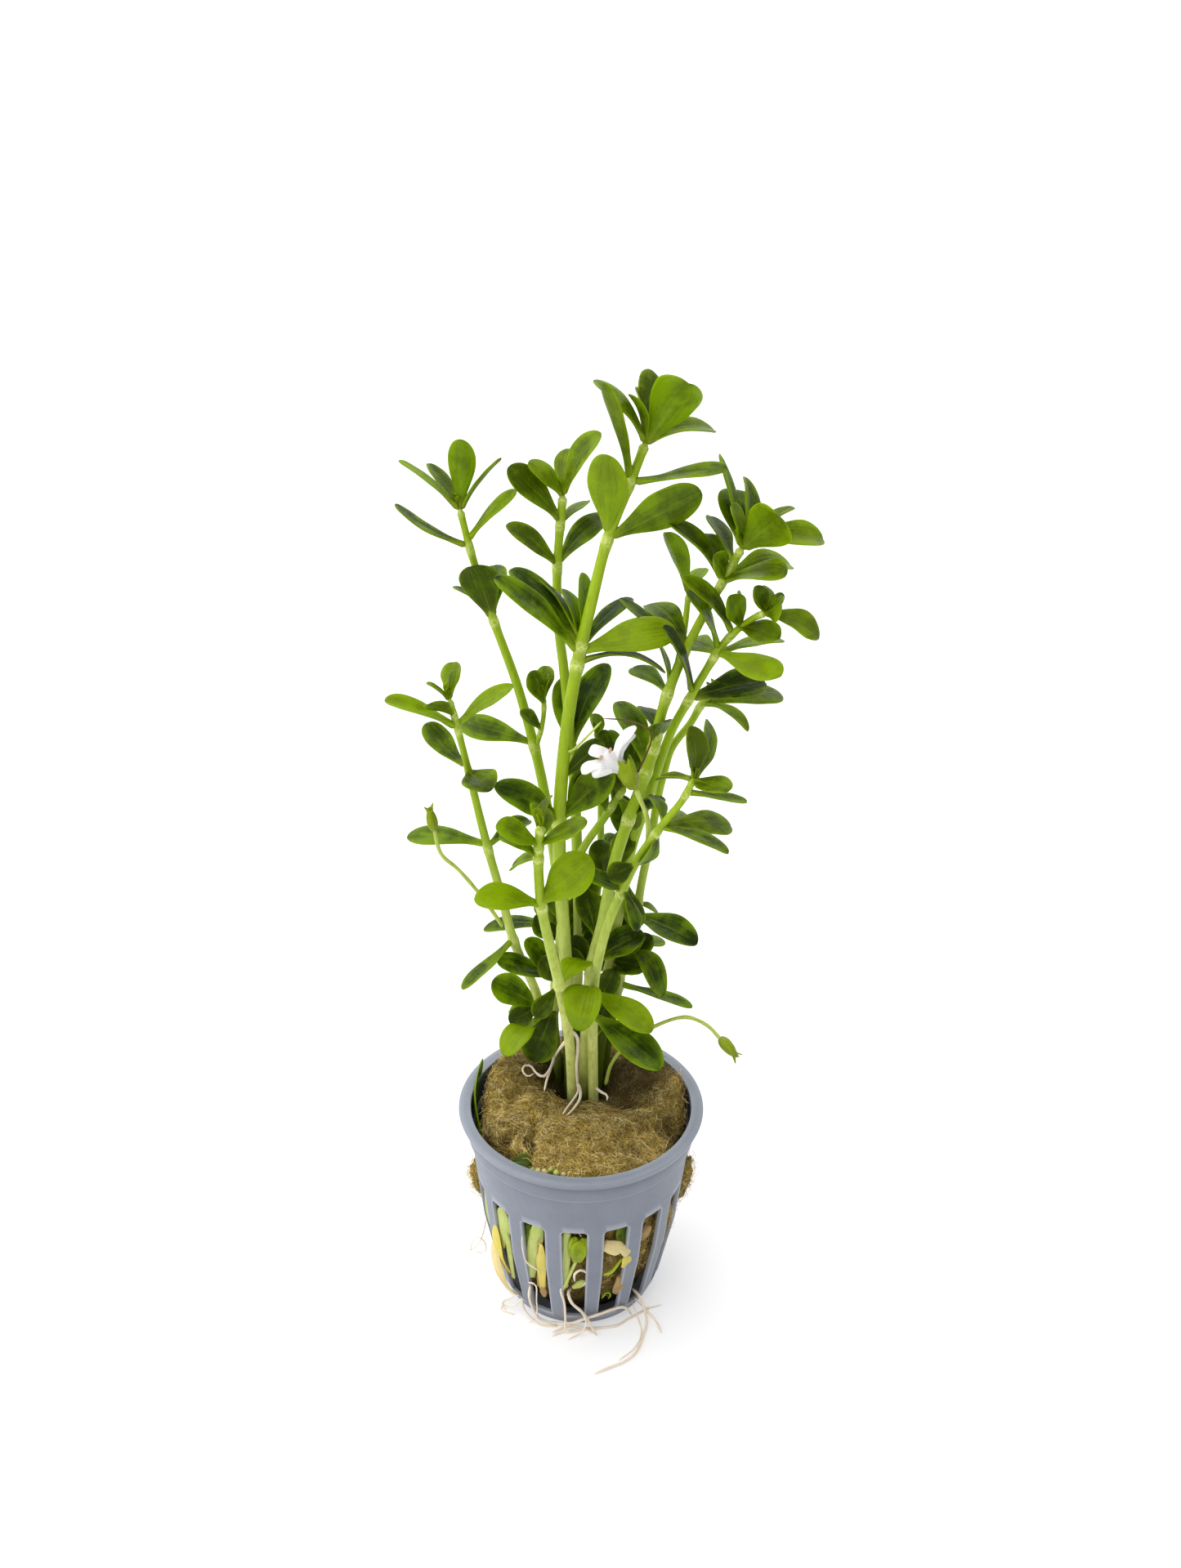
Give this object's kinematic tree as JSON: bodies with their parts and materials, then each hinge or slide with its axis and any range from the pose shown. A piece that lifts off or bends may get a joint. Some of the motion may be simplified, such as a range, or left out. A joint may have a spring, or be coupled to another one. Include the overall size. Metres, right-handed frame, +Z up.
{
  "type": "potted moneywort",
  "caption": "Bunch of upright moneywort shoots with paired fleshy leaves, buds and a white flower, planted in rock wool in a grey slotted net pot.",
  "frame": {"origin": "centre of the pot's underside, on the surface that it stands on", "axes": "+Z up along the pot's axis, -Y towards the front of the picture, +X to its right"},
  "size_m": [0.0807, 0.0594, 0.2014],
  "materials": {
    "pot": "satin grey moulded plastic",
    "wool": "damp fibrous brown-olive rock wool",
    "stem": "fleshy pale lime green, moist",
    "leaf": "fleshy glossy green, lit through at the edges",
    "petal": "soft translucent white",
    "calyx": "fleshy yellow-green",
    "root": "pale moist root",
    "old_leaf": "soft pale yellow, wilted"
  },
  "bodies": {
    "root": {"net_pot": "pot", "rock_wool": "wool", "tall_stem": "stem", "tall_leaf_1": "leaf", "tall_leaf_2": "leaf", "tall_leaf_3": "leaf", "tall_leaf_4": "leaf", "tall_leaf_5": "leaf", "tall_leaf_6": "leaf", "tall_leaf_7": "leaf", "tall_leaf_8": "leaf", "tall_leaf_9": "leaf", "middle_stem": "stem", "middle_leaf_1": "leaf", "middle_leaf_2": "leaf", "middle_leaf_3": "leaf", "left_stem": "stem", "left_leaf_1": "leaf", "left_leaf_2": "leaf", "left_leaf_3": "leaf", "low_left_stem": "stem", "low_left_leaf_1": "leaf", "low_left_leaf_2": "leaf", "low_left_leaf_3": "leaf", "front_stem": "stem", "front_leaf_1": "leaf", "flower_stem": "stem", "flower_leaf_1": "leaf", "flower_leaf_2": "leaf", "flower_leaf_3": "leaf", "flower_leaf_4": "leaf", "right_stem": "stem", "right_leaf_1": "leaf", "right_leaf_2": "leaf", "low_right_stem": "stem", "low_right_leaf_1": "leaf", "low_right_leaf_2": "leaf", "tall_right_stem": "stem", "tall_right_leaf_1": "leaf", "tall_right_leaf_2": "leaf", "tall_right_leaf_3": "leaf", "tall_right_leaf_4": "leaf", "tall_right_leaf_5": "leaf", "tall_right_leaf_6": "leaf", "back_stem": "stem", "inner_stem": "stem", "inner_leaf_1": "leaf", "corolla": "petal", "calyx": "calyx", "left_bud": "calyx", "right_bud": "calyx", "left_roots": "root", "front_roots": "root", "long_root": "root", "tucked_leaf": "leaf", "yellow_leaf": "old_leaf", "strap_leaf": "old_leaf", "slot_leaf": "old_leaf", "slot_sprout": "leaf", "withered_leaf": "old_leaf"}
  },
  "joints": []
}
